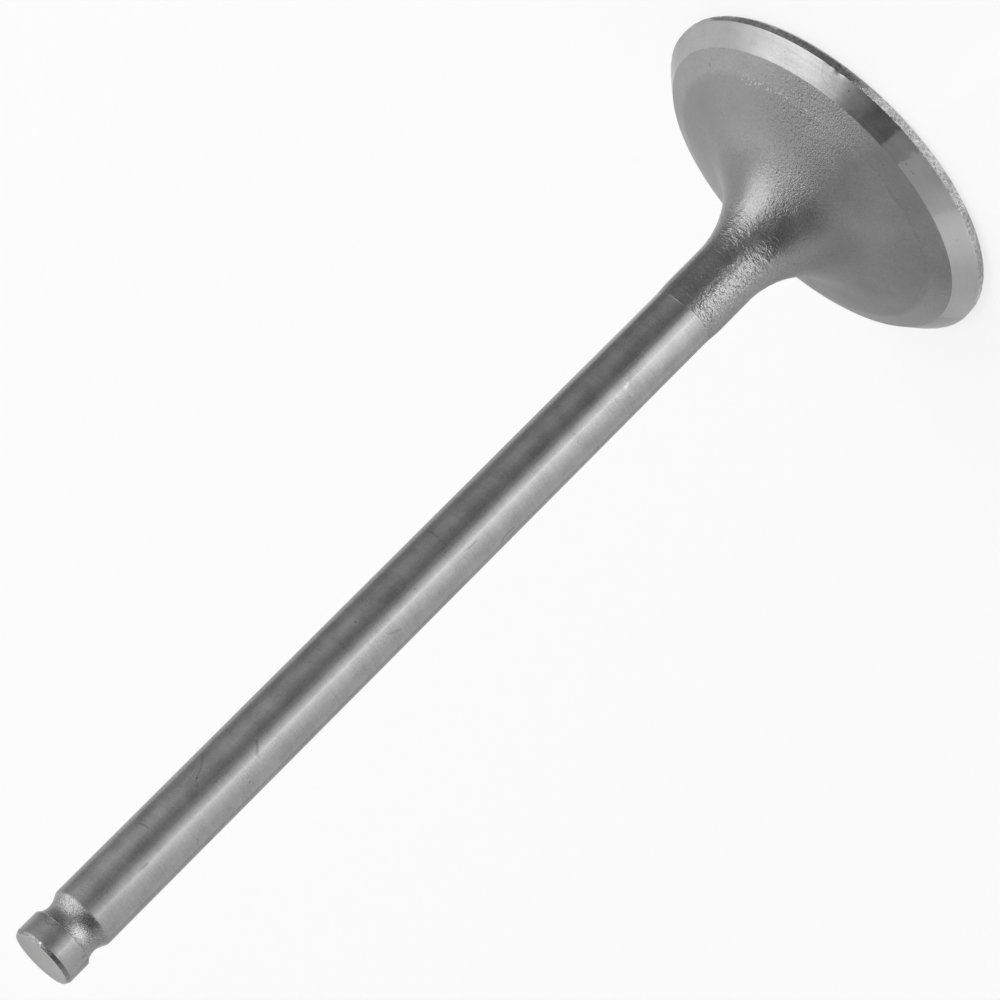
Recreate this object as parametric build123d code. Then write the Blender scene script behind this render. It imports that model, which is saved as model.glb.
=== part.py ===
"""Poppet valve of a piston engine: one forging of alloy steel, turned and ground all over its working surfaces.

The valve stands on its head. The origin is the centre of the combustion face, and +Z runs up the stem
to the tip that the rocker or tappet pushes. All sizes are in millimetres.
Everything is one revolved outline, drawn in the XZ plane: X is the radius and Z the height.
"""
import os
from math import cos, radians, sin, sqrt, tan

from build123d import *

# Overall sizes
overall_length = 99.2       # combustion face to tip face
head_diameter = 35.0        # largest diameter, at the outer edge of the seat face
stem_diameter = 5.97        # ground part of the stem, which slides in the guide

# Head: margin, seat face, land behind it, and the shallow cone under the head
margin_height = 0.97        # plain rim between the combustion face and the seat face
rim_edge_radius = 0.5       # rounded lower edge of the margin
seat_angle = 45.0           # seat face, from the plane of the head
seat_width = 1.65           # radial width of the seat face
land_angle = 25.0           # narrow land behind the seat face, from the plane of the head
land_width = 2.33           # radial width of the land
cone_angle = 20.0           # underside of the head, from the plane of the head

# Neck: the forged taper between the head and the ground stem
neck_swell = 0.105          # how far the neck stands proud of the ground stem, on the radius
neck_fillet_radius = 9.8    # sweep from the neck into the underside of the head
neck_top_height = 20.05     # where the ground stem begins
neck_run_out = 1.7          # length over which the neck draws in towards the stem
neck_step = 0.045           # height of the step at the start of the ground stem, on the radius

# Keeper groove: one rounded groove that the split keepers grip
groove_depth = 0.435        # from the stem's surface to the lowest point of the floor
groove_floor_radius = 1.6   # radius of the rounded floor, seen along the stem
groove_from_tip = 3.5       # tip face to the lowest point of the floor
shoulder_angle = 26.0       # slope from the floor up to the stem, from the axis
shoulder_edge_radius = 0.6  # softened edge between that slope and the stem
collar_edge_radius = 0.12   # edge between the groove and the collar at the tip

# Tip
tip_chamfer_length = 0.36   # along the stem
tip_chamfer_width = 0.18    # across it


def underside_points():
    """The head's outline from the combustion face to the neck, as (radius, height) corners."""
    head_r = head_diameter / 2
    seat_inner_r = head_r - seat_width
    seat_top = margin_height + seat_width * tan(radians(seat_angle))
    land_inner_r = seat_inner_r - land_width
    land_top = seat_top + land_width * tan(radians(land_angle))
    neck_r = stem_diameter / 2 + neck_swell
    cone_top = land_top + (land_inner_r - neck_r) * tan(radians(cone_angle))
    return {
        "centre": (0, 0),
        "rim": (head_r, 0),
        "seat_outer": (head_r, margin_height),
        "seat_inner": (seat_inner_r, seat_top),
        "land_inner": (land_inner_r, land_top),
        "neck_root": (neck_r, cone_top),
    }


def neck_points():
    """The forged neck's outline up to the small step where the ground stem begins."""
    stem_r = stem_diameter / 2
    return {
        "neck_end": (stem_r + neck_swell, neck_top_height - neck_run_out),
        "step_outer": (stem_r + neck_step, neck_top_height),
        "step_inner": (stem_r, neck_top_height),
    }


def groove_points():
    """The keeper groove's corners: the shoulder slope, its tangent point, the floor and the collar's edge."""
    stem_r = stem_diameter / 2
    floor_r = stem_r - groove_depth
    floor_z = overall_length - groove_from_tip
    slope = radians(shoulder_angle)
    tangent_r = floor_r + groove_floor_radius * (1 - cos(slope))
    tangent_z = floor_z - groove_floor_radius * sin(slope)
    rise = groove_floor_radius - groove_depth
    return {
        "shoulder": (stem_r, tangent_z - (stem_r - tangent_r) / tan(slope)),
        "tangent": (tangent_r, tangent_z),
        "floor": (floor_r, floor_z),
        "collar": (stem_r, floor_z + sqrt(groove_floor_radius**2 - rise**2)),
    }


def tip_points():
    """The collar's upper end: the chamfer and the flat tip face."""
    stem_r = stem_diameter / 2
    return {
        "chamfer": (stem_r, overall_length - tip_chamfer_length),
        "tip_edge": (stem_r - tip_chamfer_width, overall_length),
        "tip_centre": (0, overall_length),
    }


def valve_outline():
    """Half of the valve's section, with its rounded corners."""
    head = underside_points()
    neck = neck_points()
    groove = groove_points()
    tip = tip_points()
    with BuildSketch(Plane.XZ) as outline:
        with BuildLine():
            Polyline(*head.values(), *neck.values(), groove["shoulder"], groove["tangent"])
            ThreePointArc(groove["tangent"], groove["floor"], groove["collar"])
            Polyline(groove["collar"], *tip.values(), head["centre"])
        make_face()
        rounded = (
            (head["rim"], rim_edge_radius),
            (head["neck_root"], neck_fillet_radius),
            (groove["shoulder"], shoulder_edge_radius),
            (groove["collar"], collar_edge_radius),
        )
        for point, radius in rounded:
            corner = outline.vertices().sort_by_distance(point)[0]
            fillet(corner, radius)
    return outline.sketch


def engine_valve():
    """The whole valve as one solid of revolution."""
    with BuildPart() as valve:
        add(valve_outline())
        revolve(axis=Axis.Z)
    return valve.part


os.makedirs("parts", exist_ok=True)
valve = engine_valve()
export_step(valve, "parts/engine_valve.step")
print("volume", round(valve.volume, 1), "mm3")
print("box", valve.bounding_box())
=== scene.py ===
# %% [markdown]
# # An engine valve, standing on its head
# This lesson dresses one turned part: an intake valve of a piston engine. The CAD model
# gives its sizes, and this script gives its look: forged, shot-blasted, turned and ground
# steel under soft lamps. Every Blender unit is a metre, so sizes in millimetres are
# multiplied by MM where a mesh is made.

# %% Load the CAD frame
import math
from collections import namedtuple

import bpy
from mathutils import Matrix, Vector, noise


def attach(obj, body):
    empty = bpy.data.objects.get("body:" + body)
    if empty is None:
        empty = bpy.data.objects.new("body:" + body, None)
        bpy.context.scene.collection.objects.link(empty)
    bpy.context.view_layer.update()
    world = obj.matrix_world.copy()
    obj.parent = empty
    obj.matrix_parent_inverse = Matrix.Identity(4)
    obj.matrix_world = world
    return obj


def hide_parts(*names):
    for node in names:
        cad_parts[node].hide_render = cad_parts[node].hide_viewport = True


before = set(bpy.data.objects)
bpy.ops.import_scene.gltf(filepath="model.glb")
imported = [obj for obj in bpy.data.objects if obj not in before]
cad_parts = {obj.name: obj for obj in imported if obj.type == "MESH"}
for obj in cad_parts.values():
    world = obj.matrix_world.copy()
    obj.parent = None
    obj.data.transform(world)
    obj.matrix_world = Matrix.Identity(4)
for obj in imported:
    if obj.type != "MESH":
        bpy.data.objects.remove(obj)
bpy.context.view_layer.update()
MM = 0.001

# %% [markdown]
# ## The section of the valve
# A valve is a body of revolution, so its whole shape is one line: the edge of half of its
# section, from the middle of the combustion face, round the head, up the stem and over the
# tip. A Screw modifier could turn that line into a surface, but then the forged skin would
# be as smooth as the ground one. So the line is worked out here as a row of points, close
# together where the surface is rough, and the rings are built from it in code.

# %% Sizes of the valve, in millimetres
OVERALL_LENGTH = 99.2
HEAD_RADIUS = 17.5
STEM_RADIUS = 2.985
MARGIN_HEIGHT = 0.97
RIM_EDGE_RADIUS = 0.5
SEAT_WIDTH = 1.65
LAND_WIDTH = 2.33
NECK_SWELL = 0.105
NECK_FILLET_RADIUS = 9.8
NECK_TOP_HEIGHT = 20.05
NECK_RUN_OUT = 1.7
NECK_STEP = 0.045
GROOVE_DEPTH = 0.435
GROOVE_FLOOR_RADIUS = 1.6
GROOVE_FROM_TIP = 3.5
SHOULDER_SLOPE = math.radians(26)
TIP_CHAMFER_LENGTH = 0.36
TIP_CHAMFER_WIDTH = 0.18

seat_inner_radius = HEAD_RADIUS - SEAT_WIDTH
seat_top = MARGIN_HEIGHT + SEAT_WIDTH * math.tan(math.radians(45))
land_inner_radius = seat_inner_radius - LAND_WIDTH
land_top = seat_top + LAND_WIDTH * math.tan(math.radians(25))
neck_radius = STEM_RADIUS + NECK_SWELL
cone_top = land_top + (land_inner_radius - neck_radius) * math.tan(math.radians(20))
print("head diameter", 2 * HEAD_RADIUS, "mm, stem diameter", 2 * STEM_RADIUS, "mm")

# %% [markdown]
# ## The keeper groove
# The groove that the split keepers grip is cut with a form tool: a slope leads into a round
# floor, and the floor runs out to a sharp edge at the collar. The round floor is the
# rounding of one corner, the one where the slope's line meets the line that leaves the
# floor at the collar.

# %% Corners of the keeper groove
floor_radius = STEM_RADIUS - GROOVE_DEPTH
floor_height = OVERALL_LENGTH - GROOVE_FROM_TIP
slope_end = Vector((
    floor_radius + GROOVE_FLOOR_RADIUS * (1 - math.cos(SHOULDER_SLOPE)),
    floor_height - GROOVE_FLOOR_RADIUS * math.sin(SHOULDER_SLOPE),
))
shoulder_height = slope_end.y - (STEM_RADIUS - slope_end.x) / math.tan(SHOULDER_SLOPE)
run_out_angle = math.acos(1 - GROOVE_DEPTH / GROOVE_FLOOR_RADIUS)
collar_height = floor_height + GROOVE_FLOOR_RADIUS * math.sin(run_out_angle)
floor_reach = GROOVE_FLOOR_RADIUS * math.tan((SHOULDER_SLOPE + run_out_angle) / 2)
floor_corner = slope_end + Vector((-math.sin(SHOULDER_SLOPE), math.cos(SHOULDER_SLOPE))) * floor_reach
print("groove from", round(shoulder_height, 2), "to", round(collar_height, 2), "mm up")

# %% [markdown]
# ## The corners, with their roundings and finishes
# Each corner says where it is, how far it is rounded, which finish begins there and how
# close together the points of the next run are. No real edge is perfectly sharp: a ground
# edge is broken by a few hundredths of a millimetre, and that tiny round is what catches
# the light, so even the sharp corners have one.

# %% List the corners of the section
Corner = namedtuple("Corner", "radius height rounding finish spacing")
BROKEN_EDGE = 0.06
corners = [
    Corner(0.0, 0.0, 0, "combustion face", 2.2),
    Corner(HEAD_RADIUS, 0.0, RIM_EDGE_RADIUS, "margin", 0.12),
    Corner(HEAD_RADIUS, MARGIN_HEIGHT, BROKEN_EDGE, "seat face", 0.28),
    Corner(seat_inner_radius, seat_top, 0.12, "land", 0.2),
    Corner(land_inner_radius, land_top, 0.8, "forged skin", 0.19),
    Corner(neck_radius, cone_top, NECK_FILLET_RADIUS, "forged skin", 0.19),
    Corner(neck_radius, NECK_TOP_HEIGHT - NECK_RUN_OUT, 2.0, "forged skin", 0.19),
    Corner(STEM_RADIUS + NECK_STEP, NECK_TOP_HEIGHT - 0.02, 0.02, "ground stem", 0.1),
    Corner(STEM_RADIUS, NECK_TOP_HEIGHT + 0.04, 0.03, "ground stem", 6.0),
    Corner(STEM_RADIUS, shoulder_height, 0.6, "keeper groove", 0.12),
    Corner(floor_corner.x, floor_corner.y, GROOVE_FLOOR_RADIUS, "keeper groove", 0.12),
    Corner(STEM_RADIUS, collar_height, BROKEN_EDGE, "ground stem", 0.5),
    Corner(STEM_RADIUS, OVERALL_LENGTH - TIP_CHAMFER_LENGTH, 0.04, "tip chamfer", 0.12),
    Corner(STEM_RADIUS - TIP_CHAMFER_WIDTH, OVERALL_LENGTH, 0.04, "tip face", 0.7),
    Corner(0.0, OVERALL_LENGTH, 0, "tip face", 1.0),
]
print(len(corners), "corners")

# %% [markdown]
# ## Rounding a corner
# An arc that touches both runs begins and ends the same distance from the corner. The
# distance and the arc's centre follow from the angle between the runs.

# %% Turn one corner into the points of its arc
def bend(before, here, after, rounding, spacing):
    """Points of the arc that rounds the corner 'here', or the corner itself."""
    if not rounding:
        return [here]
    back = (before - here).normalized()
    ahead = (after - here).normalized()
    half = back.angle(ahead) / 2
    centre = here + (back + ahead).normalized() * rounding / math.sin(half)
    start = here + back * rounding / math.tan(half) - centre
    end = here + ahead * rounding / math.tan(half) - centre
    sweep = start.angle_signed(end)
    count = max(3, math.ceil(abs(sweep) * rounding / spacing))
    turns = [Matrix.Rotation(-sweep * step / count, 2) for step in range(count + 1)]
    return [centre + turn @ start for turn in turns]


rim_corners = [Vector((corner.radius, corner.height)) for corner in corners[:3]]
print(len(bend(*rim_corners, RIM_EDGE_RADIUS, 0.12)), "points round the rim's edge")

# %% Join the arcs with straight runs
FINEST_SPACING = 0.02
COARSEST_ARC_SPACING = 0.19


def section_points(corners):
    """The section's points from face to tip, and the finish of the strip after each one."""
    places = [Vector((corner.radius, corner.height)) for corner in corners]
    points = [places[0]]
    finishes = []
    for index in range(1, len(corners)):
        corner = corners[index]
        is_end = index == len(corners) - 1
        arc = [places[index]]
        if not is_end:
            spacing = max(min(corner.spacing, COARSEST_ARC_SPACING), FINEST_SPACING)
            arc = bend(places[index - 1], places[index], places[index + 1], corner.rounding, spacing)
        run = arc[0] - points[-1]
        finish = corners[index - 1].finish
        count = max(1, math.ceil(run.length / corners[index - 1].spacing))
        start = points[-1]
        for step in range(1, count + 1):
            points.append(start + run * step / count)
            finishes.append(finish)
        for step, point in enumerate(arc[1:], 1):
            points.append(point)
            finishes.append(finish if step * 2 <= len(arc) - 1 else corner.finish)
    return points, finishes


section, strip_finishes = section_points(corners)
print(len(section), "points in the section")

# %% [markdown]
# ## The forged skin in the mesh
# The stem and the seat are ground, so their rings stay true. The neck and the underside of
# the head keep the skin that the forging die and the shot left: shallow lumps, a fine
# grain, and wrinkles that run round the neck where the hot steel was squeezed. They are
# too large for shading alone to be convincing at a grazing angle, so they are in the mesh.
# The wrinkles' place is pushed about before the noise reads it, which makes them wavy.
# Blender's noise_vector could give that push, but it starts from other places each time
# Blender is started, so three plain noises from fixed places give it here.

# %% How far the forged skin stands off the true section
GRAIN_SIZE = 0.5
LUMP_SIZE = 3.2
WRINKLE_PITCH = 0.5
WRINKLE_BEND = 1.6
PUSH_STARTS = [Vector((0, 0, 0)), Vector((31, 17, 5)), Vector((11, 43, 29))]


def smooth_step(low, high, value):
    """0 at low, 1 at high, and a soft change between them, whichever is the larger."""
    share = min(max((value - low) / (high - low), 0.0), 1.0)
    return share * share * (3 - 2 * share)


def push(place):
    """A push whose direction changes slowly from place to place."""
    return Vector([noise.noise(place + start) for start in PUSH_STARTS])


def skin_offset(place, radius, height):
    """Height of the forged skin over the true section at a point, in millimetres."""
    neck = smooth_step(8.5, 12.0, height) * (0.4 + 0.6 * smooth_step(15.5, 13.0, height))
    fade = smooth_step(land_inner_radius + 1.2, land_inner_radius - 0.6, radius)
    fade *= smooth_step(NECK_TOP_HEIGHT - 0.1, NECK_TOP_HEIGHT - 0.9, height)
    grain = noise.noise(place / GRAIN_SIZE)
    lump = noise.noise(place / LUMP_SIZE + Vector((7, 3, 1)))
    wrinkle_place = Vector((place.x * 0.9, place.y * 0.9, place.z / WRINKLE_PITCH))
    wrinkle = noise.noise(wrinkle_place + 2.0 * push(place / WRINKLE_BEND))
    return fade * ((0.010 + 0.008 * neck) * grain + 0.02 * lump + 0.020 * neck * wrinkle)


print("skin half-way up the neck:", round(skin_offset(Vector((3.1, 0, 15)), 3.1, 15), 4), "mm")

# %% [markdown]
# ## The step at the neck's top
# The grinding wheel stops at the neck, and leaves a step a few hundredths of a millimetre
# high. A bar is never quite straight in the wheel's grip, so the step wanders up and down
# round the stem, and is worn nearly away on one side. Both are slow noises of the azimuth.

# %% How far the step strays and is worn
STEP_FOOT = 18.4
STEP_REACH = 21.5


def smooth_noise(angle, bends, seed):
    """A slow noise round the valve, from about -0.5 to 0.5."""
    around = Vector((math.cos(angle), math.sin(angle), 0)) * bends
    return noise.noise(around + Vector((0, 0, seed)))


def step_stray(angle, height):
    """How far the step at the neck's top strays along the stem and is worn away, in mm."""
    near = smooth_step(STEP_FOOT, 19.9, height) * smooth_step(STEP_REACH, 20.15, height)
    along = near * (0.35 * smooth_noise(angle, 1.1, 3.0) + 0.08 * smooth_noise(angle, 5.0, 8.0))
    worn = 0.4 + 0.5 * smooth_step(-0.12, 0.12, smooth_noise(angle, 2.2, 5.4))
    worn = near * NECK_STEP * min(worn + 0.3 + 0.3 * math.cos(angle + math.radians(40)), 0.95)
    return along, worn if height < NECK_TOP_HEIGHT + 0.02 else 0.0


strays = [step_stray(math.radians(turn), NECK_TOP_HEIGHT)[0] for turn in range(360)]
print("the step strays from", round(min(strays), 2), "to", round(max(strays), 2), "mm")

# %% [markdown]
# ## The margin's nicks
# The margin is the narrow wall between the seat and the combustion face. It is only
# turned, and its edges pick up nicks in handling. Each nick is a small hollow pushed into
# the ring where the noise passes a threshold, so they come out unevenly, as they should.

# %% How far the margin is knocked in
def nick_depth(angle, height):
    """How far the margin's surface lies below true at an angle, in millimetres."""
    place = Vector((math.cos(angle) * 22, math.sin(angle) * 22, height * 1.4))
    knock = max(noise.noise(place) - 0.2, 0.0) * 0.2
    tooling = 0.02 * (0.5 + noise.noise(place * 2.6 + Vector((4, 4, 4))))
    return knock + max(tooling, 0.0)


print("deepest of 360 nicks:", round(max(nick_depth(math.radians(a), 0.7) for a in range(360)), 3), "mm")

# %% [markdown]
# ## Building the rings
# Each point of the section becomes a ring of vertices, and neighbouring rings are joined
# with four-sided faces. The two ends close in a point with a fan of triangles. The face
# strips remember their finish, which later picks their material.

# %% Turn a point of the section into a ring
SEGMENTS = 408
UNDER_THE_HEAD = Vector((1, 0.9))
UP_THE_NECK = Vector((1, 0.2))


def ring_vertices(point, finish):
    """One ring of the valve, in metres, with its finish's unevenness."""
    ring = []
    for step in range(SEGMENTS):
        angle = 2 * math.pi * step / SEGMENTS
        around = Vector((math.cos(angle), math.sin(angle), 0))
        place = around * point.x + Vector((0, 0, point.y))
        if finish in ("forged skin", "land"):
            offset = skin_offset(place, point.x, point.y)
            slope = UNDER_THE_HEAD if point.x > 6 else UP_THE_NECK
            out = (around * slope.x + Vector((0, 0, slope.y))).normalized()
            place = place + out * offset
        elif finish == "margin" or (finish == "seat face" and point.x > HEAD_RADIUS - 0.1):
            place = place - around * nick_depth(angle, point.y)
        if STEP_FOOT < point.y < STEP_REACH and point.x < 4:
            along, worn = step_stray(angle, point.y)
            place = place - around * worn + Vector((0, 0, along))
        ring.append(place * MM)
    return ring


print("a ring has", len(ring_vertices(section[1], strip_finishes[1])), "vertices")

# %% Join the rings into a mesh
FINISHES = ["combustion face", "margin", "seat face", "land", "forged skin", "ground stem",
            "keeper groove", "tip chamfer", "tip face"]


def valve_mesh(section, strip_finishes):
    """The whole valve as one closed mesh."""
    vertices = [Vector((0, 0, section[0].y)) * MM]
    for point, finish in zip(section[1:-1], strip_finishes[1:]):
        vertices.extend(ring_vertices(point, finish))
    vertices.append(Vector((0, 0, section[-1].y)) * MM)
    faces = []
    face_finishes = []
    last = len(vertices) - 1
    rings = len(section) - 2
    for step in range(SEGMENTS):
        beside = (step + 1) % SEGMENTS
        faces.append((0, 1 + beside, 1 + step))
        face_finishes.append(strip_finishes[0])
        for ring in range(rings - 1):
            low = 1 + ring * SEGMENTS
            high = low + SEGMENTS
            faces.append((low + step, low + beside, high + beside, high + step))
            face_finishes.append(strip_finishes[ring + 1])
        top = 1 + (rings - 1) * SEGMENTS
        faces.append((top + step, top + beside, last))
        face_finishes.append(strip_finishes[-1])
    mesh = bpy.data.meshes.new("engine_valve_skin")
    mesh.from_pydata([tuple(vertex) for vertex in vertices], [], faces)
    mesh.polygons.foreach_set("material_index", [FINISHES.index(name) for name in face_finishes])
    mesh.polygons.foreach_set("use_smooth", [True] * len(faces))
    mesh.update()
    return mesh


print("mesh function ready")

# %% [markdown]
# ## The valve in the frame
# The mesh stands for the CAD solid in every picture, so the CAD node is hidden and the mesh rides on the
# root body.

# %% Add the valve
valve = bpy.data.objects.new("engine_valve_skin", valve_mesh(section, strip_finishes))
bpy.context.scene.collection.objects.link(valve)
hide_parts("engine_valve")
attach(valve, "root")
triangles = sum(len(face.vertices) - 2 for face in valve.data.polygons)
print("valve mesh:", len(valve.data.vertices), "vertices,", triangles, "triangles")

# %% [markdown]
# ## Colours
# Colours are written as sRGB hex values, as a colour picker shows them. Blender's shaders
# work in linear light, so one function turns a hex value into linear numbers.

# %% Turn an sRGB hex colour into linear light
def linear(hex_colour):
    """A colour such as '8A8C8E' as linear red, green, blue and alpha."""
    shares = [int(hex_colour[start:start + 2], 16) / 255 for start in (0, 2, 4)]
    light = [share / 12.92 if share <= 0.04045 else ((share + 0.055) / 1.055) ** 2.4 for share in shares]
    return (*light, 1.0)


print("mid steel in linear light:", [round(value, 3) for value in linear("8A8A8A")])

# %% [markdown]
# ## Adding nodes
# Every material below is built with one small function. It adds a node, sets what is
# constant, and links what comes from another node. Its kind is the end of the node's type
# name, so "TexNoise" stands for ShaderNodeTexNoise. Inputs go in by name, or as a list in
# the node's own order. Where an input is given a whole node, that node's first output is
# linked.

# %% Add one node with its settings and links
def add(tree, kind, inputs=(), **settings):
    """A new node. Inputs are values, nodes, or the output sockets of nodes."""
    node = tree.nodes.new("ShaderNode" + kind)
    for name, value in settings.items():
        setattr(node, name, value)
    for name, value in inputs.items() if isinstance(inputs, dict) else enumerate(inputs):
        if isinstance(value, bpy.types.Node):
            value = value.outputs[0]
        if isinstance(value, bpy.types.NodeSocket):
            tree.links.new(value, node.inputs[name])
        else:
            node.inputs[name].default_value = value
    return node


print("node helper ready")

# %% [markdown]
# ## What every steel begins with
# A bare metal has no colour under its gloss: all its colour is in what it mirrors. Metallic
# at 1 says that, and the index of refraction keeps its default. The patterns are drawn from
# the place on the surface in millimetres, so that their sizes can be read off a real part.

# %% Begin a steel
def new_steel(name):
    """An empty metal material, its Principled shader and the place in millimetres."""
    material = bpy.data.materials.new(name)
    material.use_nodes = True
    tree = material.node_tree
    shader = tree.nodes["Principled BSDF"]
    shader.inputs["Metallic"].default_value = 1.0
    place = add(tree, "TexCoord").outputs["Object"]
    place_mm = add(tree, "VectorMath", [place, (1000, 1000, 1000)], operation="MULTIPLY")
    return material, tree, shader, place_mm


def tone_between(tree, share, dark, light):
    """A colour between two sRGB hex colours."""
    mix = add(tree, "Mix", {0: share, 6: linear(dark), 7: linear(light)}, data_type="RGBA")
    return mix.outputs[2]


def stain_and_painted_light(material, share, hex_colour):
    """Mix a colour over a material's own where the share says so; it lays real stains and also painted
    light and shade.
    """
    tree = material.node_tree
    shader = tree.nodes["Principled BSDF"]
    under = shader.inputs["Base Color"].links[0].from_socket
    mix = add(tree, "Mix", {0: share, 6: under, 7: linear(hex_colour)}, data_type="RGBA")
    tree.links.new(mix.outputs[2], shader.inputs["Base Color"])


print("steel helpers ready")

# %% [markdown]
# ## Hairline scratches
# A slow noise passes through its middle value along curved lines. Where the noise is very
# near that value the share is 1, which draws the lines thin, and a second noise keeps only
# a few short lengths of them. On the stem they show as dark hairs, some millimetres long.

# %% Draw hairline scratches
def hairlines(tree, place, size, thickness, amount):
    """Shares of 1 along a few curved scratches, and 0 elsewhere."""
    path = add(tree, "TexNoise", {"Vector": place, "Scale": 1 / size, "Detail": 0.0})
    off = add(tree, "Math", [path, 0.5], operation="SUBTRACT")
    off = add(tree, "Math", [off], operation="ABSOLUTE")
    line = add(tree, "MapRange", {"Value": off, "From Min": 0.0, "From Max": thickness / size,
                                  "To Min": 1.0, "To Max": 0.0})
    where = add(tree, "TexNoise", {"Vector": place, "Scale": 1.3 / size, "Detail": 1.0})
    kept = add(tree, "MapRange", {"Value": where, "From Min": 0.58, "From Max": 0.64, "To Max": amount})
    return add(tree, "Math", [line, kept], operation="MULTIPLY")


HAIRLINE_BEND = 4.0
HAIRLINE_THICKNESS = 0.07
print("hairlines", HAIRLINE_THICKNESS, "mm thick")

# %% [markdown]
# ## Ground steel of the stem and the seat
# The stem is alloy steel, hardened and centreless-ground. The wheel leaves lines round the
# stem a few hundredths of a millimetre apart, which spread a reflection along the stem and
# keep it narrow across: that is why the light lies on it in long clean bands. The shader's
# anisotropy does that part. Lines that fine are below a pixel, so a few coarser ones are
# drawn, very faint. Over them lies what years in a guide leave: a cloudy tone a couple of
# millimetres across, a fine grain, and the hairlines.

# %% Make ground steel
GRIND_LINE_PITCH = 0.15
GRIND_GRAIN = 0.12
CLOUD_SIZE = 2.4


def ground_tone(tree, lines, clouds, grain):
    """A share between dark and light: mostly clouds, then grain, then the wheel's lines."""
    mild_clouds = add(tree, "Math", [clouds, 0.6, 0.2], operation="MULTIPLY_ADD")
    cloudy = add(tree, "Math", [grain, 0.45, mild_clouds], operation="MULTIPLY_ADD")
    mixed = add(tree, "Math", [lines, 0.25, cloudy], operation="MULTIPLY_ADD")
    return add(tree, "MapRange", {"Value": mixed, "From Min": 0.6, "From Max": 1.1})


def ground_steel(name, dark, light, roughness, squeeze, line_strength, scratches=0.0):
    """Ground steel: lines round the axis, clouds, a fine grain and hairline scratches."""
    material, tree, shader, place = new_steel(name)
    lines_place = add(tree, "VectorMath", [place, (0.16, 0.16, 1 / GRIND_LINE_PITCH)],
                      operation="MULTIPLY")
    lines = add(tree, "TexNoise", {"Vector": lines_place, "Scale": 1.0, "Detail": 3.0})
    clouds = add(tree, "TexNoise",
                 {"Vector": place, "Scale": 1 / CLOUD_SIZE, "Detail": 5.0, "Roughness": 0.62})
    grain = add(tree, "TexNoise", {"Vector": place, "Scale": 1 / GRIND_GRAIN, "Detail": 2.0})
    scratch = hairlines(tree, place, HAIRLINE_BEND, HAIRLINE_THICKNESS, scratches)
    share = ground_tone(tree, lines, clouds, grain)
    lit = add(tree, "Math", [share, scratch], operation="SUBTRACT")
    tree.links.new(tone_between(tree, lit, dark, light), shader.inputs["Base Color"])
    rough = add(tree, "MapRange", {"Value": clouds, "From Min": 0.3, "From Max": 0.7,
                                   "To Min": roughness - 0.03, "To Max": roughness + 0.03})
    tree.links.new(rough.outputs[0], shader.inputs["Roughness"])
    relief = add(tree, "Math", [grain, 0.8, lines], operation="MULTIPLY_ADD")
    bump = add(tree, "Bump", {"Height": relief, "Strength": line_strength, "Distance": 0.01 * MM})
    tree.links.new(bump.outputs[0], shader.inputs["Normal"])
    tangent = add(tree, "Tangent", direction_type="RADIAL", axis="Z")
    tree.links.new(tangent.outputs[0], shader.inputs["Tangent"])
    shader.inputs["Anisotropic"].default_value = squeeze
    shader.inputs["Anisotropic Rotation"].default_value = 0.25
    return material


stem_steel = ground_steel("ground stem steel", "848484", "A8A8A8", 0.28, 0.72, 0.18, 1.0)
seat_steel = ground_steel("ground seat steel", "808080", "ACACAC", 0.36, 0.4, 0.35, 0.2)
print("made", stem_steel.name, "and", seat_steel.name)

# %% [markdown]
# ## Marks that lie on an arc
# Many marks run from one azimuth to another. Some are wear from what works on one side of the valve, and
# some are painted light and shade, which changes round the valve as the light does. The azimuth comes from
# the place on the surface, and a little noise is added to it, so that no mark ends in a ruled line. Each
# end has a fade of its own.

# %% Tell where an arc round the valve begins and ends
RAGGED_SIZE = 0.4


def azimuth_of(tree, raggedness):
    """The angle round the valve in radians, with ragged noise added."""
    place = add(tree, "TexCoord").outputs["Object"]
    parts = add(tree, "SeparateXYZ", [place])
    angle = add(tree, "Math", [parts.outputs["Y"], parts.outputs["X"]], operation="ARCTAN2")
    ragged = add(tree, "TexNoise", {"Vector": place, "Scale": 1000 / RAGGED_SIZE, "Detail": 3.0})
    return add(tree, "Math", [ragged, raggedness, angle], operation="MULTIPLY_ADD")


def between(tree, angle, start, start_fade, end, end_fade):
    """A share of 1 between two azimuths in degrees, and 0 outside them, with soft ends."""
    begun = add(tree, "MapRange", {"Value": angle, "From Min": math.radians(start - start_fade / 2),
                                   "From Max": math.radians(start + start_fade / 2)})
    left = add(tree, "MapRange", {"Value": angle, "From Min": math.radians(end - end_fade / 2),
                                  "From Max": math.radians(end + end_fade / 2),
                                  "To Min": 1.0, "To Max": 0.0})
    return add(tree, "Math", [begun, left], operation="MULTIPLY")


print("arc helpers ready")

# %% [markdown]
# ## Contact patches on the seat
# The seat face beats against its ring in the cylinder head, and doesn't touch evenly. Where it does, the
# face is burnished or dulled in patches, some with straight ends and some that fade out. Each patch has a
# share of dullness, which scatters the light more widely, and a share of a lighter colour. That colour is
# partly burnished metal and partly a painted reflection: it lightens the arcs of the seat that mirror
# bright parts of the studio.

# %% Mark the seat in patches
Patch = namedtuple("Patch", "start start_fade end end_fade dull bright")
# The last column is the share of a lighter colour, partly burnished metal and partly a painted reflection.
SEAT_PATCHES = [
    Patch(-45, 15, 70, 30, 0.0, 0.32),
    Patch(-102, 1, -94, 1, 0.45, 0.32),
    Patch(-108, 5, -102, 1, 0.0, 0.45),
    Patch(-122, 2, -102, 1, 0.5, 0.56),
    Patch(-150, 20, -122, 2, 0.0, 0.66),
    Patch(-178, 20, -150, 20, 0.0, 0.45),
]
# The lighter colour of the patches, partly burnished metal and partly a painted reflection.
BURNISHED_AND_PAINTED_SHEEN = "D6D6D6"
DULLED_ROUGHNESS = 0.6
# The colour of the painted dark reflection on the seat.
PAINTED_DARK_REFLECTION = "4C4C4C"


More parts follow.
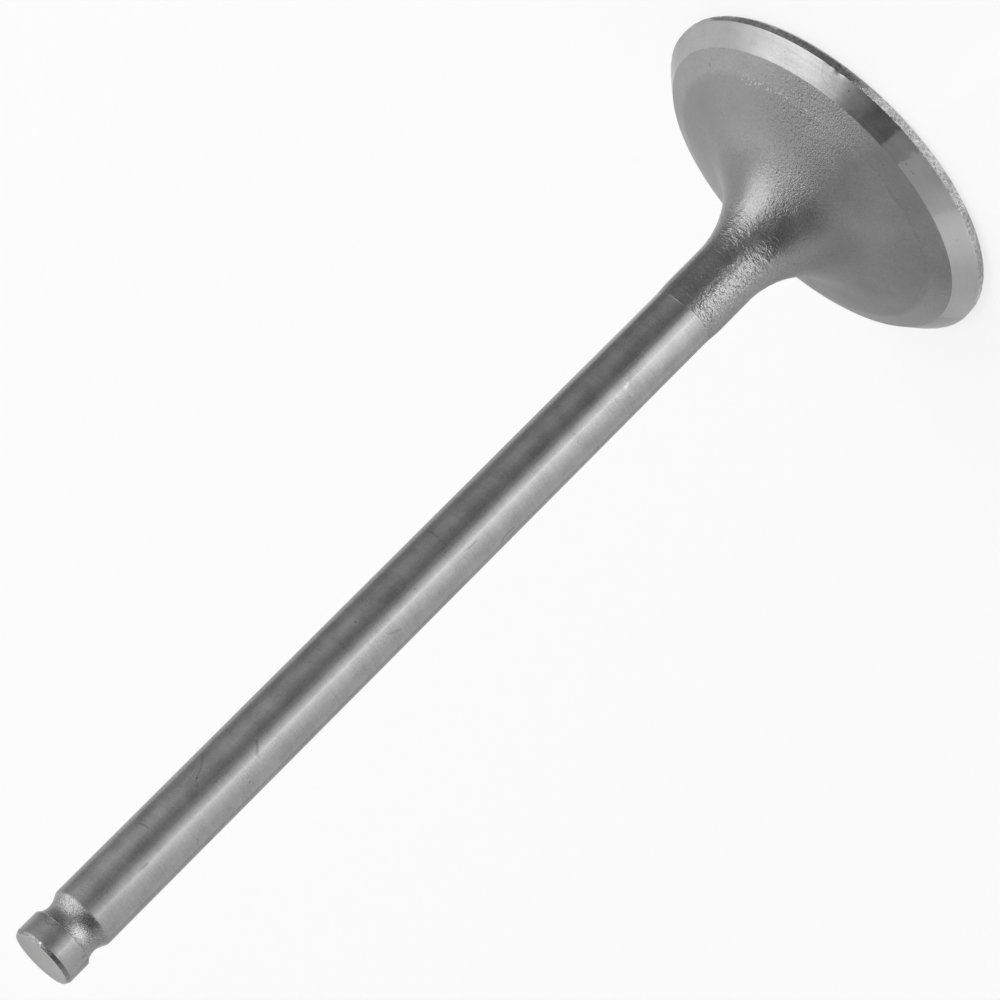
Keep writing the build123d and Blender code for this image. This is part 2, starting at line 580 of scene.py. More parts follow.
def mark_patches(material, patches):
    """Change a ring's roughness and colour in patches."""
    tree = material.node_tree
    shader = tree.nodes["Principled BSDF"]
    angle = azimuth_of(tree, 0.06)
    rough = shader.inputs["Roughness"].links[0].from_socket
    for patch in patches:
        inside = between(tree, angle, patch.start, patch.start_fade, patch.end, patch.end_fade)
        dull = add(tree, "Math", [inside, patch.dull], operation="MULTIPLY")
        rough = add(tree, "Mix", {0: dull, 2: rough, 3: DULLED_ROUGHNESS})
        # Painted reflection, partly burnished metal: the lighter share of each patch.
        bright = add(tree, "Math", [inside, patch.bright], operation="MULTIPLY")
        stain_and_painted_light(material, bright, BURNISHED_AND_PAINTED_SHEEN)
    tree.links.new(rough.outputs[0], shader.inputs["Roughness"])


def paint_dark_reflection(material, start, start_fade, end, end_fade, amount):
    """A painted dark reflection: a darker colour over an arc of the ring."""
    tree = material.node_tree
    arc = between(tree, azimuth_of(tree, 0.1), start, start_fade, end, end_fade)
    stain_and_painted_light(material, add(tree, "Math", [arc, amount], operation="MULTIPLY"), PAINTED_DARK_REFLECTION)


mark_patches(seat_steel, SEAT_PATCHES)
# Painted dark reflection on the arc of the seat that faces the camera.
paint_dark_reflection(seat_steel, -90, 10, -74, 5, 0.32)
print("marked", len(SEAT_PATCHES), "patches and a film")

# %% [markdown]
# ## Pits and dings
# Steel that has lain about has small dark pits, where damp has eaten in, and a few dings, where something
# harder has struck it. The dings are painted as lighter spots, which stand for the glints they catch as
# well as their bare metal. The pits come from the cells of a Voronoi texture: its colour picks a few
# cells, and its distance makes a dot in each. The dings, and the larger pits on the seat and the land, are
# placed one by one.

# %% Add pits and dings to a steel
Spot = namedtuple("Spot", "azimuth height radius size")
SPOT_GRAIN = 0.2
RUST_PIT = "4A4A4A"
SMALL_PIT = 0.12


def add_pits(material, spacing):
    """Small dark pits in a few of the cells, which are the given spacing apart, in mm."""
    tree = material.node_tree
    place = add(tree, "TexCoord").outputs["Object"]
    cells = add(tree, "TexVoronoi", {"Vector": place, "Scale": 1000 / spacing})
    dot = add(tree, "MapRange", {"Value": cells.outputs["Distance"],
                                 "From Min": SMALL_PIT / spacing * 0.4, "From Max": SMALL_PIT / spacing,
                                 "To Min": 0.8, "To Max": 0.0})
    pick = add(tree, "SeparateColor", [cells.outputs["Color"]])
    kept = add(tree, "MapRange", {"Value": pick, "From Min": 0.7, "From Max": 0.9})
    stain_and_painted_light(material, add(tree, "Math", [dot, kept], operation="MULTIPLY"), RUST_PIT)


def add_spots(material, spots, hex_colour, strength=0.6):
    """Single ragged spots, each at an azimuth, a height and a radius."""
    tree = material.node_tree
    place = add(tree, "TexCoord").outputs["Object"]
    ragged = add(tree, "TexNoise", {"Vector": place, "Scale": 1000 / SPOT_GRAIN, "Detail": 1.0})
    for spot in spots:
        turn = math.radians(spot.azimuth)
        centre = Vector((spot.radius * math.cos(turn), spot.radius * math.sin(turn), spot.height)) * MM
        away = add(tree, "VectorMath", [place, tuple(centre)], operation="DISTANCE")
        shaken = add(tree, "Math", [ragged, spot.size * MM, away.outputs["Value"]],
                     operation="MULTIPLY_ADD")
        share = add(tree, "MapRange", {"Value": shaken, "From Min": 0.8 * spot.size * MM,
                                       "From Max": 1.5 * spot.size * MM,
                                       "To Min": strength, "To Max": 0.0})
        stain_and_painted_light(material, share, hex_colour)


print("small pits up to", 2 * SMALL_PIT, "mm across")

# %% Mark the seat and the stem
def at_seat(azimuth, height, size):
    """A spot on the seat face."""
    return Spot(azimuth, height, HEAD_RADIUS - (height - MARGIN_HEIGHT), size)


def at_stem(azimuth, height, size):
    """A spot on the ground stem."""
    return Spot(azimuth, height, STEM_RADIUS, size)


PIT = "5A5A5A"
add_pits(stem_steel, 1.6)
add_pits(seat_steel, 0.9)
# Lighter spots on the seat: dings, with their glints painted in.
add_spots(seat_steel, [at_seat(-105.6, 2.15, 0.5), at_seat(-103.4, 1.6, 0.4)], "CCCCCC", 0.3)
add_spots(seat_steel, [at_seat(-105.0, 2.15, 0.13), at_seat(-107.6, 2.2, 0.12),
                       at_seat(-108.6, 2.17, 0.1)], PIT, 0.5)
# Lighter spots on the stem: dings, with their glints painted in.
add_spots(stem_steel, [at_stem(-105.5, 29.3, 0.24), at_stem(-103.5, 29.0, 0.16),
                       at_stem(-106.0, 30.5, 0.15), at_stem(-90.0, 92.6, 0.16)], "D2D2D2", 0.22)
print("pits and dings added")

# %% [markdown]
# ## Where the shot struck hardest
# After forging, the skin is cleaned with a stream of steel shot. It dwelt on two places, one
# by the rim and one at the foot of the neck, and left them rougher. There the larger balls
# also left hollows of their own, a third of a millimetre across.

# %% Find the roughest places and draw the large hollows
LARGE_SHOT_MARK = 0.34
RoughPlace = namedtuple("RoughPlace", "centre core size share")
BY_THE_RIM = RoughPlace((4.9, -12.2, 3.1), 2.0, 6.5, 1.0)
AT_THE_FOOT = RoughPlace((1.4, -6.8, 6.8), 1.5, 4.5, 0.6)


def roughest(tree, place):
    """A share that is high at the two rough places."""
    near = []
    for rough in (BY_THE_RIM, AT_THE_FOOT):
        away = add(tree, "VectorMath", [place, rough.centre], operation="DISTANCE")
        near.append(add(tree, "MapRange", {"Value": away.outputs["Value"], "From Min": rough.core,
                                           "From Max": rough.size, "To Min": rough.share,
                                           "To Max": 0.0}))
    return add(tree, "Math", near, operation="MAXIMUM")


def large_hollows(tree, place):
    """Round hollows in about half of the cells, from 0 down to -1."""
    cells = add(tree, "TexVoronoi", {"Vector": place, "Scale": 1 / LARGE_SHOT_MARK})
    hollow = add(tree, "MapRange", {"Value": cells.outputs["Distance"], "From Min": 0.1,
                                    "From Max": 0.55, "To Min": -1.0, "To Max": 0.0})
    pick = add(tree, "SeparateColor", [cells.outputs["Color"]])
    struck = add(tree, "MapRange", {"Value": pick, "From Min": 0.45, "From Max": 0.6})
    return add(tree, "Math", [hollow, struck], operation="MULTIPLY")


print("large shot marks", LARGE_SHOT_MARK, "mm across")

# %% [markdown]
# ## Crinkles of the neck
# On the neck the hot steel was squeezed together, and its skin crinkled. The crinkles run
# round the neck, twice as long as they are wide: squeezing the place before the noise reads
# it gives them that direction. Up the neck they grow fainter, but deeper along one side.

# %% Draw the crinkles
def crinkle_depth(tree, height, on_neck, crinkle):
    """How deep the crinkles are at a height and an azimuth."""
    low_neck = add(tree, "MapRange", {"Value": height, "From Min": 13.0, "From Max": 15.5,
                                      "To Min": 0.75, "To Max": 0.45})
    upper_neck = add(tree, "MapRange", {"Value": height, "From Min": 11.0, "From Max": 15.0,
                                        "To Min": 0.75, "To Max": 1.25})
    side = between(tree, azimuth_of(tree, 0.2), -165, 16, -84, 16)
    on_side = add(tree, "Math", [side, upper_neck], operation="MULTIPLY")
    deeper = add(tree, "Math", [low_neck, on_side], operation="MAXIMUM")
    deeper = add(tree, "Math", [deeper, crinkle], operation="MULTIPLY")
    return add(tree, "Math", [on_neck, deeper], operation="MULTIPLY")


def crinkles(tree, place, pitch):
    """Wrinkles round the neck, from 0 to 1."""
    squeezed = add(tree, "VectorMath", [place, (0.5, 0.5, 1.0)], operation="MULTIPLY")
    return add(tree, "TexNoise", {"Vector": squeezed, "Scale": 0.7 / pitch, "Detail": 1.5,
                                  "Distortion": 0.5})


print("crinkle helpers ready")

# %% [markdown]
# ## As-forged steel of the neck and the head
# The shot leaves dimples about a sixth of a millimetre across, so the surface is matt from
# afar, and near by it sparkles where a dimple's rim turns to the light. Dimples, hollows
# and crinkles are relief, not colour, so the metal under them is fairly smooth and the bump
# does the scattering. Rough turning looks much the same, so one function makes both.

# %% Make blasted steel
SHOT_MARK = 0.16
PATCHES_PER_MM = 0.22


def blasted_steel(name, dark, light, roughness, pitch, depth, crinkle=0.0, mildest=0.45, hardest=1.5):
    """Blasted or rough-turned steel: dimples of one pitch and depth in mm, and crinkles."""
    material, tree, shader, place = new_steel(name)
    height = add(tree, "SeparateXYZ", [place]).outputs["Z"]
    on_neck = add(tree, "MapRange", {"Value": height, "From Min": 7.5, "From Max": 12.0})
    marks = add(tree, "TexNoise", {"Vector": place, "Scale": 1 / pitch, "Detail": 3.0, "Roughness": 0.55})
    patches = add(tree, "TexNoise", {"Vector": place, "Scale": PATCHES_PER_MM, "Detail": 3.0})
    rough_place = roughest(tree, place)
    hit = add(tree, "Math", [rough_place, 0.35, patches], operation="MULTIPLY_ADD")
    gain = add(tree, "MapRange", {"Value": hit, "From Min": 0.47, "From Max": 0.85,
                                  "To Min": mildest, "To Max": hardest})
    relief = add(tree, "Math", [marks, gain], operation="MULTIPLY")
    relief = add(tree, "Math", [crinkles(tree, place, pitch),
                                crinkle_depth(tree, height, on_neck, crinkle), relief],
                 operation="MULTIPLY_ADD")
    relief = add(tree, "Math", [large_hollows(tree, place), rough_place, relief], operation="MULTIPLY_ADD")
    bump = add(tree, "Bump", {"Height": relief, "Strength": 1.0, "Distance": depth * MM})
    tree.links.new(bump.outputs[0], shader.inputs["Normal"])
    mixed = add(tree, "Math", [marks, patches], operation="ADD")
    share = add(tree, "MapRange", {"Value": mixed, "From Min": 0.75, "From Max": 1.25})
    tree.links.new(tone_between(tree, share, dark, light), shader.inputs["Base Color"])
    rough = add(tree, "MapRange", {"Value": on_neck, "To Min": roughness, "To Max": roughness - 0.1})
    tree.links.new(rough.outputs[0], shader.inputs["Roughness"])
    return material


forged_steel = blasted_steel("as-forged steel", "828282", "969696", 0.38, SHOT_MARK, 0.046,
                             crinkle=1.8, mildest=0.6, hardest=1.9)
land_steel = blasted_steel("skimmed land steel", "848484", "9A9A9A", 0.42, SHOT_MARK, 0.046,
                           mildest=0.4, hardest=1.9)
margin_steel = blasted_steel("turned margin steel", "767676", "B8B8B8", 0.26, 0.28, 0.21, mildest=1.0)
print("made", forged_steel.name, land_steel.name, margin_steel.name)

# %% [markdown]
# ## The edge of the skimmed land
# Behind the seat the lathe has skimmed a narrow land. The forging isn't quite round, so the skim runs out
# along a wavy edge, which is seen as a change of tone more than as a step. A noise added to the distance
# from the axis makes the edge wander. On each side of the edge, painted light and shade make arcs round
# the head lighter or darker, as the light falls on them, and on one side a thin line of painted shade lies
# in the edge.

# %% Measure from the axis and draw the line in the edge
def from_axis(tree):
    """The distance from the valve's axis, in millimetres."""
    place = add(tree, "TexCoord").outputs["Object"]
    flat = add(tree, "VectorMath", [place, (1000, 1000, 0)], operation="MULTIPLY")
    return place, add(tree, "VectorMath", [flat], operation="LENGTH").outputs["Value"]


def edge_shade_line(tree, angle, radius, edge, wander):
    """A thin broken line of painted shade in the edge, on one arc."""
    off = add(tree, "Math", [radius, edge], operation="SUBTRACT")
    off = add(tree, "Math", [off], operation="ABSOLUTE")
    line = add(tree, "MapRange", {"Value": off, "From Min": 0.04, "From Max": 0.22,
                                  "To Min": 0.32, "To Max": 0.0})
    arc = between(tree, angle, -150, 40, -85, 20)
    broken = add(tree, "MapRange", {"Value": wander, "From Min": 0.38, "From Max": 0.5})
    share = add(tree, "Math", [line, arc], operation="MULTIPLY")
    return add(tree, "Math", [share, broken], operation="MULTIPLY")


print("edge helpers ready")

# %% Part the skimmed land from the forged skin
Tone = namedtuple("Tone", "start start_fade end end_fade skimmed colour strength")
SKIM_EDGE_RADIUS = 13.8
SKIM_WANDER = 1.2
SKIM_BENDS_PER_MM = 0.7
SKIM_EDGE_SOFTNESS = 0.3
# Arcs of painted light and shade, on the skimmed or the forged side of the edge.
SKIM_PAINTED_LIGHT_AND_SHADE = [
    Tone(-5, 50, 75, 50, True, "A0A0A0", 0.3),
    Tone(-50, 40, 60, 40, False, "7A7A7A", 0.42),
    Tone(-120, 20, -72, 20, True, "7C7C7C", 0.35),
    Tone(120, 60, 200, 1, True, "B4B4B4", 0.4),
    Tone(-200, 1, -157, 30, True, "B4B4B4", 0.4),
]


def mark_skim_edge(material):
    """Part the skimmed land from the forged skin with a wavy edge, and paint light and shade on arcs of
    each side.
    """
    tree = material.node_tree
    place, distance = from_axis(tree)
    wander = add(tree, "TexNoise", {"Vector": place, "Scale": SKIM_BENDS_PER_MM * 1000,
                                    "Detail": 6.0, "Roughness": 0.7})
    radius = add(tree, "Math", [wander, SKIM_WANDER, distance], operation="MULTIPLY_ADD")
    edge = SKIM_EDGE_RADIUS + SKIM_WANDER / 2
    skimmed = add(tree, "MapRange", {"Value": radius, "From Min": edge - SKIM_EDGE_SOFTNESS,
                                     "From Max": edge + SKIM_EDGE_SOFTNESS})
    forged = add(tree, "MapRange", {"Value": skimmed, "To Min": 1.0, "To Max": 0.0})
    outer = add(tree, "MapRange", {"Value": radius, "From Min": 8.0, "From Max": 11.0})
    skin = add(tree, "Math", [forged, outer], operation="MULTIPLY")
    angle = azimuth_of(tree, 0.3)
    # Painted light and shade: arcs of each side are made lighter or darker.
    for tone in SKIM_PAINTED_LIGHT_AND_SHADE:
        arc = between(tree, angle, tone.start, tone.start_fade, tone.end, tone.end_fade)
        part = add(tree, "Math", [arc, skimmed if tone.skimmed else skin], operation="MULTIPLY")
        share = add(tree, "Math", [part, tone.strength], operation="MULTIPLY")
        stain_and_painted_light(material, share, tone.colour)
    # A thin line of painted shade in the edge, on one arc.
    stain_and_painted_light(material, edge_shade_line(tree, angle, radius, edge, wander), "686868")


print("skimmed edge at", SKIM_EDGE_RADIUS, "mm, with", len(SKIM_PAINTED_LIGHT_AND_SHADE), "tones along it")

# %% [markdown]
# ## Torn flecks
# Where the tool that skimmed the land ran into rougher skin it tore small flecks of steel.
# They lie along the inner edge of the land and stand a little proud. They are painted lighter, partly bare
# torn steel and partly a painted glint.

# %% Add torn flecks along a ring
FLECK_SIZE = 0.24
FLECK_AND_GLINT_COLOUR = "B6B6B6"


def add_flecks(material, radius, width, start, end):
    """Torn flecks along a ring, from one azimuth to another, painted lighter for bare torn metal and for
    their glints.
    """
    tree = material.node_tree
    place, distance = from_axis(tree)
    off = add(tree, "Math", [distance, radius], operation="SUBTRACT")
    off = add(tree, "Math", [off], operation="ABSOLUTE")
    on_ring = add(tree, "MapRange", {"Value": off, "From Min": 0.0, "From Max": width,
                                     "To Min": 1.0, "To Max": 0.0})
    on_arc = between(tree, azimuth_of(tree, 0.02), start, 12, end, 12)
    where = add(tree, "Math", [on_ring, on_arc], operation="MULTIPLY")
    torn = add(tree, "TexNoise", {"Vector": place, "Scale": 1000 / FLECK_SIZE, "Detail": 2.0})
    high = add(tree, "Math", [where, 0.12, torn], operation="MULTIPLY_ADD")
    fleck = add(tree, "MapRange", {"Value": high, "From Min": 0.66, "From Max": 0.74})
    kept = add(tree, "Math", [fleck, where], operation="MULTIPLY")
    # Painted glint, partly bare torn metal: the flecks are made lighter.
    stain_and_painted_light(material, kept, FLECK_AND_GLINT_COLOUR)
    bump = tree.nodes["Principled BSDF"].inputs["Normal"].links[0].from_node
    below = bump.inputs["Height"].links[0].from_socket
    raised = add(tree, "Math", [kept, 0.35, below], operation="MULTIPLY_ADD")
    tree.links.new(raised.outputs[0], bump.inputs["Height"])


for steel in (forged_steel, land_steel):
    mark_skim_edge(steel)
    add_flecks(steel, land_inner_radius, 0.9, -72, -34)
add_spots(land_steel, [Spot(-19, 3.25, 14.5, 0.16), Spot(-21, 3.05, 14.9, 0.12)], PIT)
print("edge and flecks added to", forged_steel.name, "and", land_steel.name)

# %% [markdown]
# ## The margin's calmer arcs
# The margin is rough where the turning tool chattered, and much smoother on the rest of its
# round. The strength of the relief is turned down there, and the steel stays the same.

# %% Calm the margin's relief
def calm_relief(material, start, end, left):
    """Leave only a share of the relief over an arc, where the tool cut cleaner."""
    tree = material.node_tree
    bump = tree.nodes["Principled BSDF"].inputs["Normal"].links[0].from_node
    before = bump.inputs["Strength"].links[0].from_socket if bump.inputs["Strength"].links else 1.0
    arc = between(tree, azimuth_of(tree, 0.06), start, 8, end, 8)
    calm = add(tree, "Math", [arc, left - 1.0, 1.0], operation="MULTIPLY_ADD")
    strength = add(tree, "Math", [calm, before], operation="MULTIPLY")
    tree.links.new(strength.outputs[0], bump.inputs["Strength"])


calm_relief(margin_steel, -74, 40, 0.25)
calm_relief(margin_steel, -185, -134, 0.45)
for steel, spacing in ((forged_steel, 1.8), (land_steel, 1.4), (margin_steel, 0.8)):
    add_pits(steel, spacing)
print("calmed", margin_steel.name)

# %% [markdown]
# ## The groove, the chamfer and the two end faces
# The combustion face is faced on a lathe, which leaves the same kind of fine round lines as grinding. The
# groove and the chamfer are cut with form tools, which tear the steel a little: coarse marks for their
# small size. The groove has a painted highlight on one side and painted shade on the other. The chamfer's
# steel is darker, as painted shade for its dark reflection, and its bright nick is a painted glint. The
# tip face is ground, so it is even, and its front is painted a shade lighter, as painted light.

# %% Make the groove, the chamfer and the end faces
face_steel = ground_steel("turned face steel", "8C8C8C", "9C9C9C", 0.4, 0.5, 0.5)
groove_steel = blasted_steel("form-turned groove steel", "747474", "B2B2B2", 0.25, 0.13, 0.045,
                             mildest=1.4, hardest=1.8)
# A painted highlight on one side of the groove, and painted shade on the other.
add_spots(groove_steel, [Spot(-106.0, 96.1, 2.58, 1.0)], "DADADA", 0.34)
add_spots(groove_steel, [Spot(-60.0, 94.9, 2.65, 1.0)], "5C5C5C", 0.3)
# The chamfer's darker steel is painted shade for its dark reflection, and the bright nick on it is a
# painted glint.
chamfer_steel = blasted_steel("turned chamfer steel", "6C6C6C", "9A9A9A", 0.32, 0.13, 0.06, mildest=1.0)
add_spots(chamfer_steel, [Spot(-71, 98.95, STEM_RADIUS - 0.08, 0.18)], "D8D8D8")
tip_steel = ground_steel("ground tip steel", "A0A0A0", "B2B2B2", 0.45, 0.0, 0.15)
tip_tree = tip_steel.node_tree
tip_place = add(tip_tree, "TexCoord").outputs["Object"]
# Painted light: the tip face is made a shade lighter towards its front.
toward_lit_side = add(tip_tree, "VectorMath", [tip_place, (-0.7, -0.7, 0.0)], operation="DOT_PRODUCT")
painted_light_share = add(tip_tree, "MapRange", {"Value": toward_lit_side.outputs["Value"], "From Min": -3 * MM,
                                   "From Max": 3 * MM, "To Max": 0.5})
stain_and_painted_light(tip_steel, painted_light_share, "C8C8C8")
print("made", groove_steel.name, chamfer_steel.name, tip_steel.name)

# %% [markdown]
# ## Giving each strip its steel
# The mesh's faces already carry the number of their finish, so the materials are only put
# into the slots in the same order.

# %% Give each finish its material
materials = {
    "combustion face": face_steel, "margin": margin_steel, "seat face": seat_steel,
    "land": land_steel, "forged skin": forged_steel, "ground stem": stem_steel,
    "keeper groove": groove_steel, "tip chamfer": chamfer_steel, "tip face": tip_steel,
}
for finish in FINISHES:
    valve.data.materials.append(materials[finish])
print(len(valve.data.materials), "material slots")

# %% [markdown]
# ## The table
# The valve stands on a wide table with near-white matt paint. So that the table looks
# white without any more light on the valve, three quarters of what the camera and the
# mirroring metal see of it is a plain white glow. The last quarter is the paint itself, and
# keeps the valve's soft shadow.

# %% Make the table
TABLE_RADIUS = 6.0
TABLE_SIDES = 96
TABLE_GLOW = 0.75


def table_sheet(name):
    """A flat round sheet on the floor, in metres."""
    mesh = bpy.data.meshes.new(name)
    turns = [2 * math.pi * step / TABLE_SIDES for step in range(TABLE_SIDES)]
    ring = [(TABLE_RADIUS * math.cos(turn), TABLE_RADIUS * math.sin(turn), 0.0) for turn in turns]
    mesh.from_pydata(ring, [], [tuple(range(TABLE_SIDES))])
    mesh.update()
    sheet = bpy.data.objects.new(name, mesh)
    bpy.context.scene.collection.objects.link(sheet)
    return sheet


table = table_sheet("pale_table")
print("table", 2 * TABLE_RADIUS, "m across")

# %% Paint the table
table_paint = bpy.data.materials.new("white table paint")
table_paint.use_nodes = True
table_tree = table_paint.node_tree
table_shader = table_tree.nodes["Principled BSDF"]
table_shader.inputs["Base Color"].default_value = linear("F8F8F8")
table_shader.inputs["Roughness"].default_value = 0.9
rays = add(table_tree, "LightPath")
seen = add(table_tree, "Math", [rays.outputs["Is Camera Ray"], rays.outputs["Is Glossy Ray"]],
           operation="MAXIMUM")
seen = add(table_tree, "Math", [seen, rays.outputs["Is Transmission Ray"]], operation="MAXIMUM")
share = add(table_tree, "Math", [seen, TABLE_GLOW], operation="MULTIPLY")
white = add(table_tree, "Emission", {"Color": (1, 1, 1, 1), "Strength": 1.0})
both = add(table_tree, "MixShader", [share, table_shader, white])
table_tree.links.new(both.outputs[0], table_tree.nodes["Material Output"].inputs["Surface"])
table.data.materials.append(table_paint)
print("painted", table.name)

# %% [markdown]
# ## The studio round the valve
# Polished and ground metal has little look of its own: it shows what stands round it. So a
# photographer lights metal with large soft boxes and lays black and white cards beside it,
# and the bands on the stem are the reflections of those. The sizes and places below were
# worked out from the bands in the photograph. Angles are in degrees, round the valve from
# the +X axis, and up from the table. The camera stands at -90.

# %% Two soft boxes
VALVE_MIDDLE = Vector((0, 0, 0.045))
LAMP_DISTANCE = 0.9


def soft_box(name, azimuth, elevation, wide, tall, brightness):
    """An area lamp that faces the valve and fills the given angles, as bright as it says."""
    turn = math.radians(azimuth)
    rise = math.radians(elevation)
    away = Vector((math.cos(turn) * math.cos(rise), math.sin(turn) * math.cos(rise), math.sin(rise)))
    lamp = bpy.data.lights.new(name, "AREA")
    lamp.shape = "RECTANGLE"
    lamp.size = 2 * LAMP_DISTANCE * math.tan(math.radians(wide / 2))
    lamp.size_y = 2 * LAMP_DISTANCE * math.tan(math.radians(tall / 2))
    lamp.energy = brightness * math.pi * lamp.size * lamp.size_y
    holder = bpy.data.objects.new(name, lamp)
    holder.location = VALVE_MIDDLE + away * LAMP_DISTANCE
    holder.rotation_euler = away.to_track_quat("Z", "Y").to_euler()
    holder.visible_camera = False
    bpy.context.scene.collection.objects.link(holder)
    print(name, "is", round(lamp.size, 2), "by", round(lamp.size_y, 2), "m")


soft_box("key_soft_box", -20.6, 33.8, 44, 51, 1.97)
soft_box("fill_soft_box", 60, 48, 22, 50, 0.66)

# %% [markdown]
# ## Papers for the cards
# A card is matt paper, so it shows in the metal as one even tone. A panel is a card that
# glows. On two of the panels the glow fades towards both ends, as it does on a sheet that a
# lamp lights from the middle. The cards are there for the metal alone: the camera doesn't
# see them, and all but the drapes throw no shadow.

# %% Make the papers and the panels
PANEL = "D0D0D0"


def card_paint(name, hex_colour, glow=0.0):
    """A matt card, or a panel that glows."""
    paint = bpy.data.materials.new(name)
    paint.use_nodes = True
    shader = paint.node_tree.nodes["Principled BSDF"]
    shader.inputs["Base Color"].default_value = linear(hex_colour)
    shader.inputs["Roughness"].default_value = 0.9
    shader.inputs["Emission Color"].default_value = (1, 1, 1, 1)
    shader.inputs["Emission Strength"].default_value = glow
    return paint


def graded_paint(name, faint, bright, start, start_fade, end, end_fade):
    """A panel whose glow is bright between two azimuths and fades to faint outside them."""
    paint = card_paint(name, PANEL)
    tree = paint.node_tree
    inside = between(tree, azimuth_of(tree, 0.0), start, start_fade, end, end_fade)
    glow = add(tree, "Math", [inside, bright - faint, faint], operation="MULTIPLY_ADD")
    tree.links.new(glow.outputs[0], tree.nodes["Principled BSDF"].inputs["Emission Strength"])
    return paint


black_paper = card_paint("black paper", "6E6E6E")
thin_paper = card_paint("thin black paper", "7C7C7C")
grey_paper = card_paint("grey paper", "B4B4B4")
dark_card = card_paint("dark grey card", "909090")
mid_card = card_paint("mid grey card", "A0A0A0")
rim_card = card_paint("grey card by the rim", "B4B4B4")
soft_card = card_paint("soft grey card", "BCBCBC")
pale_card = card_paint("pale grey card", "DADADA")
white_card = card_paint("white card", "EAEAEA")
thin_tube = card_paint("thin tube", PANEL, 3.6)
rim_panel = card_paint("light panel by the rim", PANEL, 1.1)
bright_strip = card_paint("bright strip", PANEL, 1.42)
light_panel = graded_paint("light panel", 0.48, 1.15, -151, 36, -104, 16)
near_strip = graded_paint("near strip", 0.9, 2.75, -152, 44, -96, 10)
print("made", light_panel.name, "and", near_strip.name)

# %% [markdown]
# ## Cards on the table
# A spot z millimetres up the stem mirrors the table about 2.7 z from the axis. So a long
# card that points at the valve gives the stem one band from top to bottom, and a card that
# lies close to the head shows only at the stem's foot and on the neck.
# - The dark, soft and mid grey cards give the stem its dark side.
# - The light panel with its bright strip gives the light side, and the thin tube on it the
#   narrow bright line.
# - The near strip brightens the light side at the foot of the neck.
# - The grey card and the panel by the rim are what the margin mirrors.
# - The side card and the back card give the thin light lines along the stem's outlines.
#
# Each card lies a few hundredths of a millimetre over the one below it.

# %% Lay the cards on the table
CARD_STEPS = 24
NEAR_EDGE = 0.022
FAR_EDGE = 0.7
RIM = 0.0176


def card(name, inner_edge, outer_edge, from_azimuth, to_azimuth, paint, shades_table=False):
    """A strip between two edges, each a distance and a height, swept round the valve."""
    places = []
    for step in range(CARD_STEPS + 1):
        turn = math.radians(from_azimuth + (to_azimuth - from_azimuth) * step / CARD_STEPS)
        for edge in (inner_edge, outer_edge):
            places.append((math.cos(turn) * edge.x, math.sin(turn) * edge.x, edge.y))
    faces = [(2 * step, 2 * step + 1, 2 * step + 3, 2 * step + 2) for step in range(CARD_STEPS)]
    mesh = bpy.data.meshes.new(name)
    mesh.from_pydata(places, [], faces)
    mesh.update()
    sheet = bpy.data.objects.new(name, mesh)
    sheet.data.materials.append(paint)
    bpy.context.scene.collection.objects.link(sheet)
    sheet.visible_camera = False
    sheet.visible_diffuse = shades_table
    sheet.visible_shadow = shades_table


def low_card(name, height, from_azimuth, to_azimuth, paint, near=NEAR_EDGE, far=FAR_EDGE):
    """A card on the table, from one distance to another, at a height in millimetres."""
    card(name, Vector((near, height * MM)), Vector((far, height * MM)), from_azimuth, to_azimuth, paint)


low_card("dark_card", 0.02, -76, 35.7, dark_card)
low_card("soft_card", 0.02, -90, -76, soft_card)
low_card("grey_card_by_rim", 0.02, -81.5, -16, rim_card, near=RIM, far=NEAR_EDGE)
low_card("mid_card", 0.04, -38, 0, mid_card)
low_card("side_card", 0.02, 36, 75, pale_card, near=0.075)
low_card("back_card", 0.04, 92, 143, pale_card)
low_card("light_panel", 0.04, -178, -97, light_panel)
low_card("light_panel_by_rim", 0.04, -127, -86, rim_panel, near=0.01725, far=NEAR_EDGE)
low_card("bright_strip", 0.06, -132, -112, bright_strip, near=0.07)
low_card("thin_tube", 0.08, -119.5, -117.5, thin_tube)
low_card("near_strip", 0.1, -178, -91, near_strip, far=0.0445)
print("cards laid")

# %% [markdown]
# ## Drapes over the camera and a screen behind
# The seat and the underside of the head look up, so they mirror what hangs overhead. Black
# paper hangs there in an arch from just over the table to the top, and darkens the side of
# the head that faces the camera. Low down it is thinner, and grey at the right, where the
# head is paler. The flat tip face mirrors the white screen behind the valve.

# %% Hang the drapes and the screen
DRAPE_RADIUS = 1.6
DRAPE_START = 3
DRAPE_HEIGHT = 17
DRAPE_ROWS = 5
THIN_DRAPE_TOP = 37


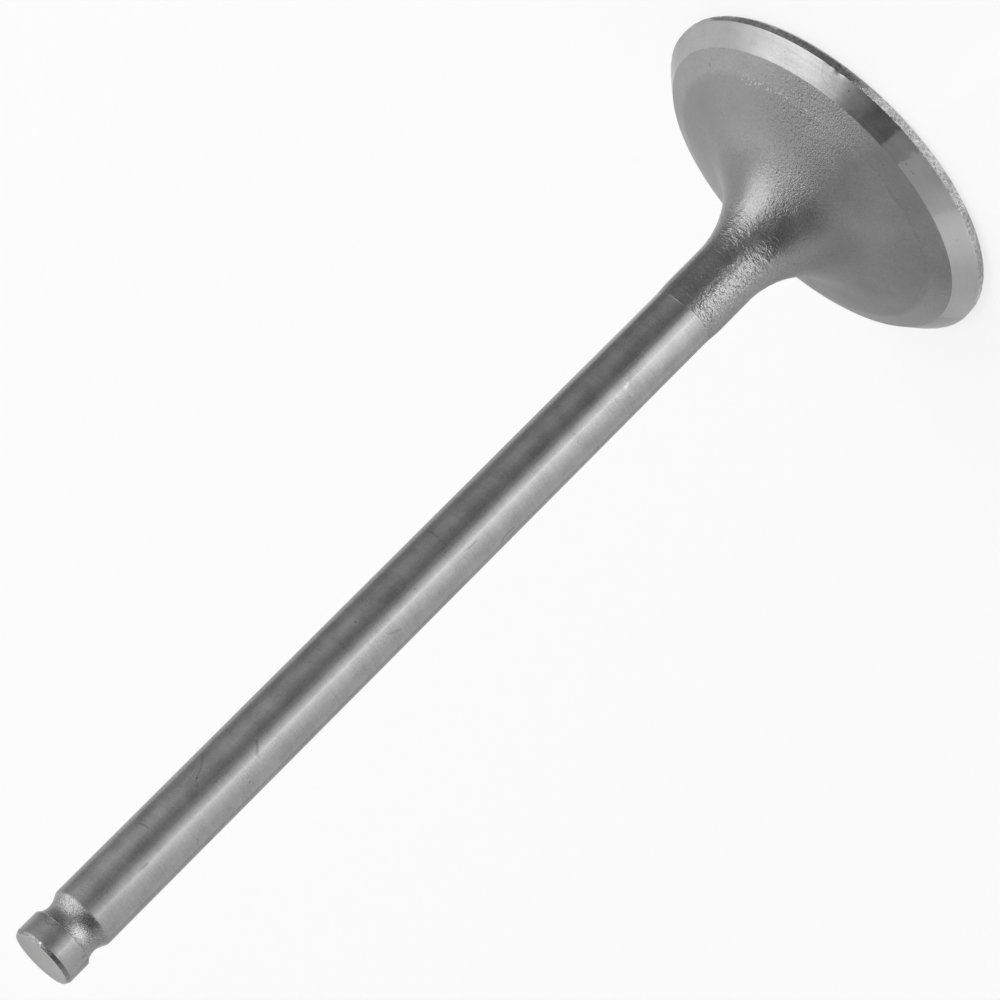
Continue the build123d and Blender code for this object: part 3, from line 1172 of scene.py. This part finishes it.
def drape_edge(rise):
    """The distance and the height of a drape's edge at an elevation."""
    return Vector((math.cos(math.radians(rise)), math.sin(math.radians(rise)))) * DRAPE_RADIUS


for row in range(DRAPE_ROWS):
    lower = DRAPE_START + row * DRAPE_HEIGHT
    low_edge = drape_edge(lower)
    high_edge = drape_edge(lower + DRAPE_HEIGHT)
    if lower < THIN_DRAPE_TOP:
        card(f"black_drape_{lower}", low_edge, high_edge, -156, -102, thin_paper, shades_table=True)
        card(f"grey_drape_{lower}", low_edge, high_edge, -102, -58, grey_paper, shades_table=True)
    else:
        card(f"black_drape_{lower}", low_edge, high_edge, -168, -58, black_paper, shades_table=True)
card("white_screen_behind", Vector((1.6, 0.06)), Vector((1.1, 1.6)), 86, 165, white_card)
print("drapes hung")

# %% [markdown]
# ## The sky over the studio
# What no card covers mirrors the sky: a plain pale grey from all sides, a little below
# white, which also fills the shadows.

# %% Make the sky
SKY = 0.88
world = bpy.data.worlds.new("studio")
bpy.context.scene.world = world
world.use_nodes = True
world.node_tree.nodes["Background"].inputs["Color"].default_value = (SKY, SKY, SKY, 1)
print("world made")

# %% [markdown]
# ## The camera
# The camera stands where the photographer's stood. It was worked out from the photograph's
# own outline: the two edges of the stem narrow towards the head, and the circles of the
# head, groove and tip show as ellipses. It looks 20.2 degrees down, and it is rolled over,
# so that the upright valve lies across the picture.

# %% Place the camera
CAMERA_PLACE = Vector((-0.009, -380.743, 183.624)) * MM
LOOKS_DOWN = math.radians(20.200)
ROLLED = math.radians(-135.026)
camera_data = bpy.data.cameras.new("camera")
camera_data.sensor_fit = "HORIZONTAL"
camera_data.sensor_width = 36.0
camera_data.lens = 172.87
camera = bpy.data.objects.new("camera", camera_data)
tilt = Matrix.Rotation(math.radians(90) - LOOKS_DOWN, 4, "X")
camera.matrix_world = Matrix.Translation(CAMERA_PLACE) @ tilt @ Matrix.Rotation(ROLLED, 4, "Z")
bpy.context.scene.collection.objects.link(camera)
bpy.context.scene.camera = camera
bpy.context.scene.view_settings.view_transform = "Standard"
print("camera at", [round(value / MM, 1) for value in camera.matrix_world.translation], "mm")
